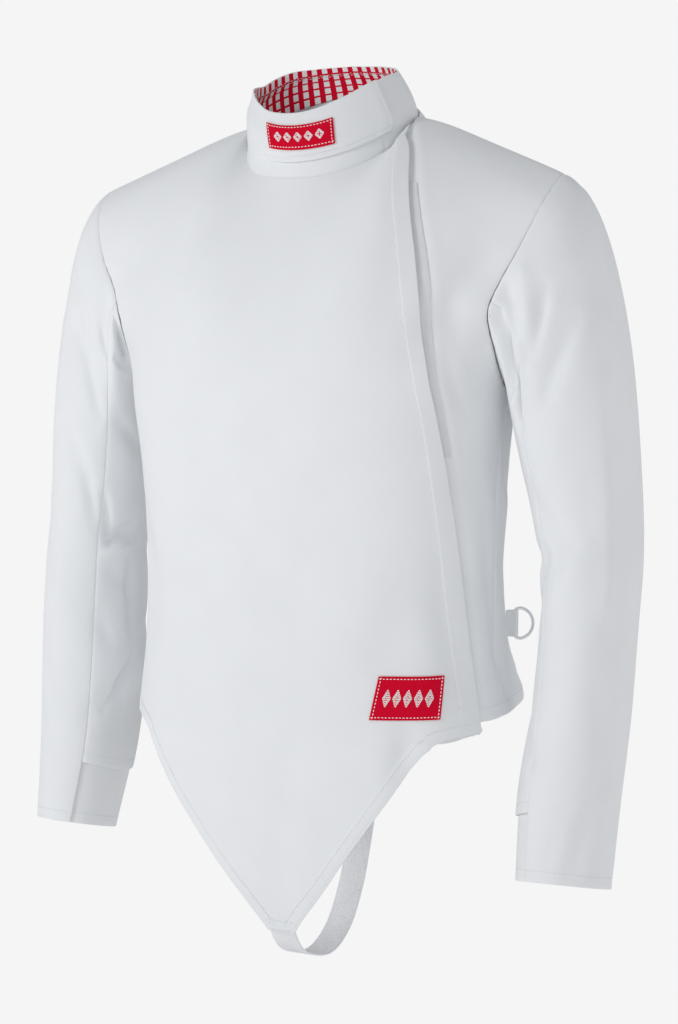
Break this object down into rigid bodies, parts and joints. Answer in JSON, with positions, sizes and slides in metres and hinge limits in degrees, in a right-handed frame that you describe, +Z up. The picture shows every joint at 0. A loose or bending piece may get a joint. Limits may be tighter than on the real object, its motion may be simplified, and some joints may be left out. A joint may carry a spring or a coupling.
{
  "type": "fencing jacket",
  "caption": "Fencing jacket in its worn form: high stand collar, closing edge at the wearer's left, long sleeves, pointed front tongue and crotch strap.",
  "frame": {"origin": "inside the garment, on its middle line, level with the tops of the shoulders, where the wearer holds it up", "axes": "+X to the wearer's left, -Y to the front, +Z up"},
  "size_m": [0.606, 0.2566, 0.8333],
  "materials": {
    "white_cloth": "close twill weave, matt, slightly cool white",
    "check_lining": "smooth woven lining, red and white check",
    "red_label": "woven patch with a stitched white border",
    "zip_tape": "fine woven tape",
    "white_webbing": "ribbed elastic webbing",
    "ring_metal": "plated wire, slightly dull"
  },
  "bodies": {
    "jacket": {"front_right": "white_cloth", "front_left": "white_cloth", "back": "white_cloth", "sleeve_left_top": "white_cloth", "sleeve_left_under": "white_cloth", "sleeve_right_top": "white_cloth", "sleeve_right_under": "white_cloth", "cuff_left": "white_cloth", "cuff_right": "white_cloth", "collar_stand": "white_cloth", "collar_flap": "white_cloth", "collar_lining": "check_lining", "collar_label": "red_label", "hem_label": "red_label", "zip_tape": "zip_tape", "crotch_strap": "white_webbing", "d_ring_tab": "white_webbing"},
    "d_ring": {"d_ring": "ring_metal"}
  },
  "joints": [
    {"name": "d_ring_swing", "type": "hinge", "parent": "jacket", "child": "d_ring", "pos_m": [0.17474, 0.04518, -0.458], "axis": [0, 0, 1], "range_deg": [-95, 95]}
  ]
}
